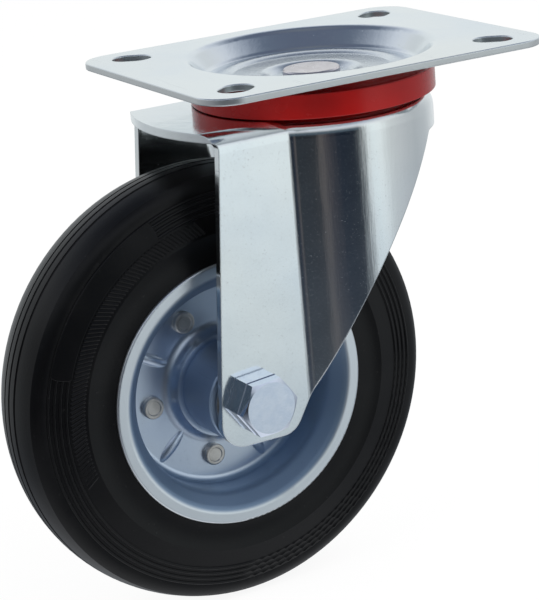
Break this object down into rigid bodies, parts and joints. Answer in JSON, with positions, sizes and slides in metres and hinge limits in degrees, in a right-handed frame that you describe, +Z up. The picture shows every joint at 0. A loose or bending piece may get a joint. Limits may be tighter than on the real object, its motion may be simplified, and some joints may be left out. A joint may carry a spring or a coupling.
{
  "type": "swivel castor",
  "caption": "Swivel castor with a slotted rectangular top plate, double ball race, pressed steel fork and a riveted steel wheel with a solid rubber tyre",
  "frame": {"origin": "centre of the top plate's upper face, on the swivel axis", "axes": "+Z up out of the plate, the wheel trails towards -X, +Y along the axle"},
  "size_m": [0.1965, 0.106, 0.192],
  "materials": {
    "zinc_plated_steel": "bright zinc plating, faintly bluish, fine scratches",
    "bright_steel": "zinc plated, riveted over",
    "fastener_steel": "zinc plated",
    "bearing_steel": "plain ground steel",
    "rim_steel": "bluish zinc plating",
    "rivet_steel": "plain steel with a warm tint",
    "red_plastic": "glossy red",
    "insert_plastic": "plain",
    "cage_plastic": "plain",
    "black_rubber": "moulded solid rubber, slightly satin"
  },
  "bodies": {
    "plate": {"top_plate": "zinc_plated_steel", "kingpin": "bright_steel", "lower_race": "zinc_plated_steel", "seal_ring": "red_plastic"},
    "fork": {"fork": "zinc_plated_steel", "axle_bolt": "fastener_steel", "axle_nut": "fastener_steel", "nut_insert": "insert_plastic", "axle_sleeve": "bearing_steel", "end_washer_near": "bearing_steel", "end_washer_far": "bearing_steel", "upper_balls": "bearing_steel", "lower_balls": "bearing_steel"},
    "wheel": {"tyre": "black_rubber", "rim_half_near": "rim_steel", "rim_half_far": "rim_steel", "rim_rivets": "rivet_steel", "hub_tube": "rim_steel", "roller_cage": "cage_plastic", "rollers": "bearing_steel"}
  },
  "joints": [
    {"name": "swivel", "type": "hinge", "parent": "plate", "child": "fork", "pos_m": [0, 0, 0], "axis": [0, 0, 1], "continuous": true},
    {"name": "wheel_spin", "type": "hinge", "parent": "fork", "child": "wheel", "pos_m": [-0.049, 0, -0.112], "axis": [0, 1, 0], "continuous": true}
  ]
}
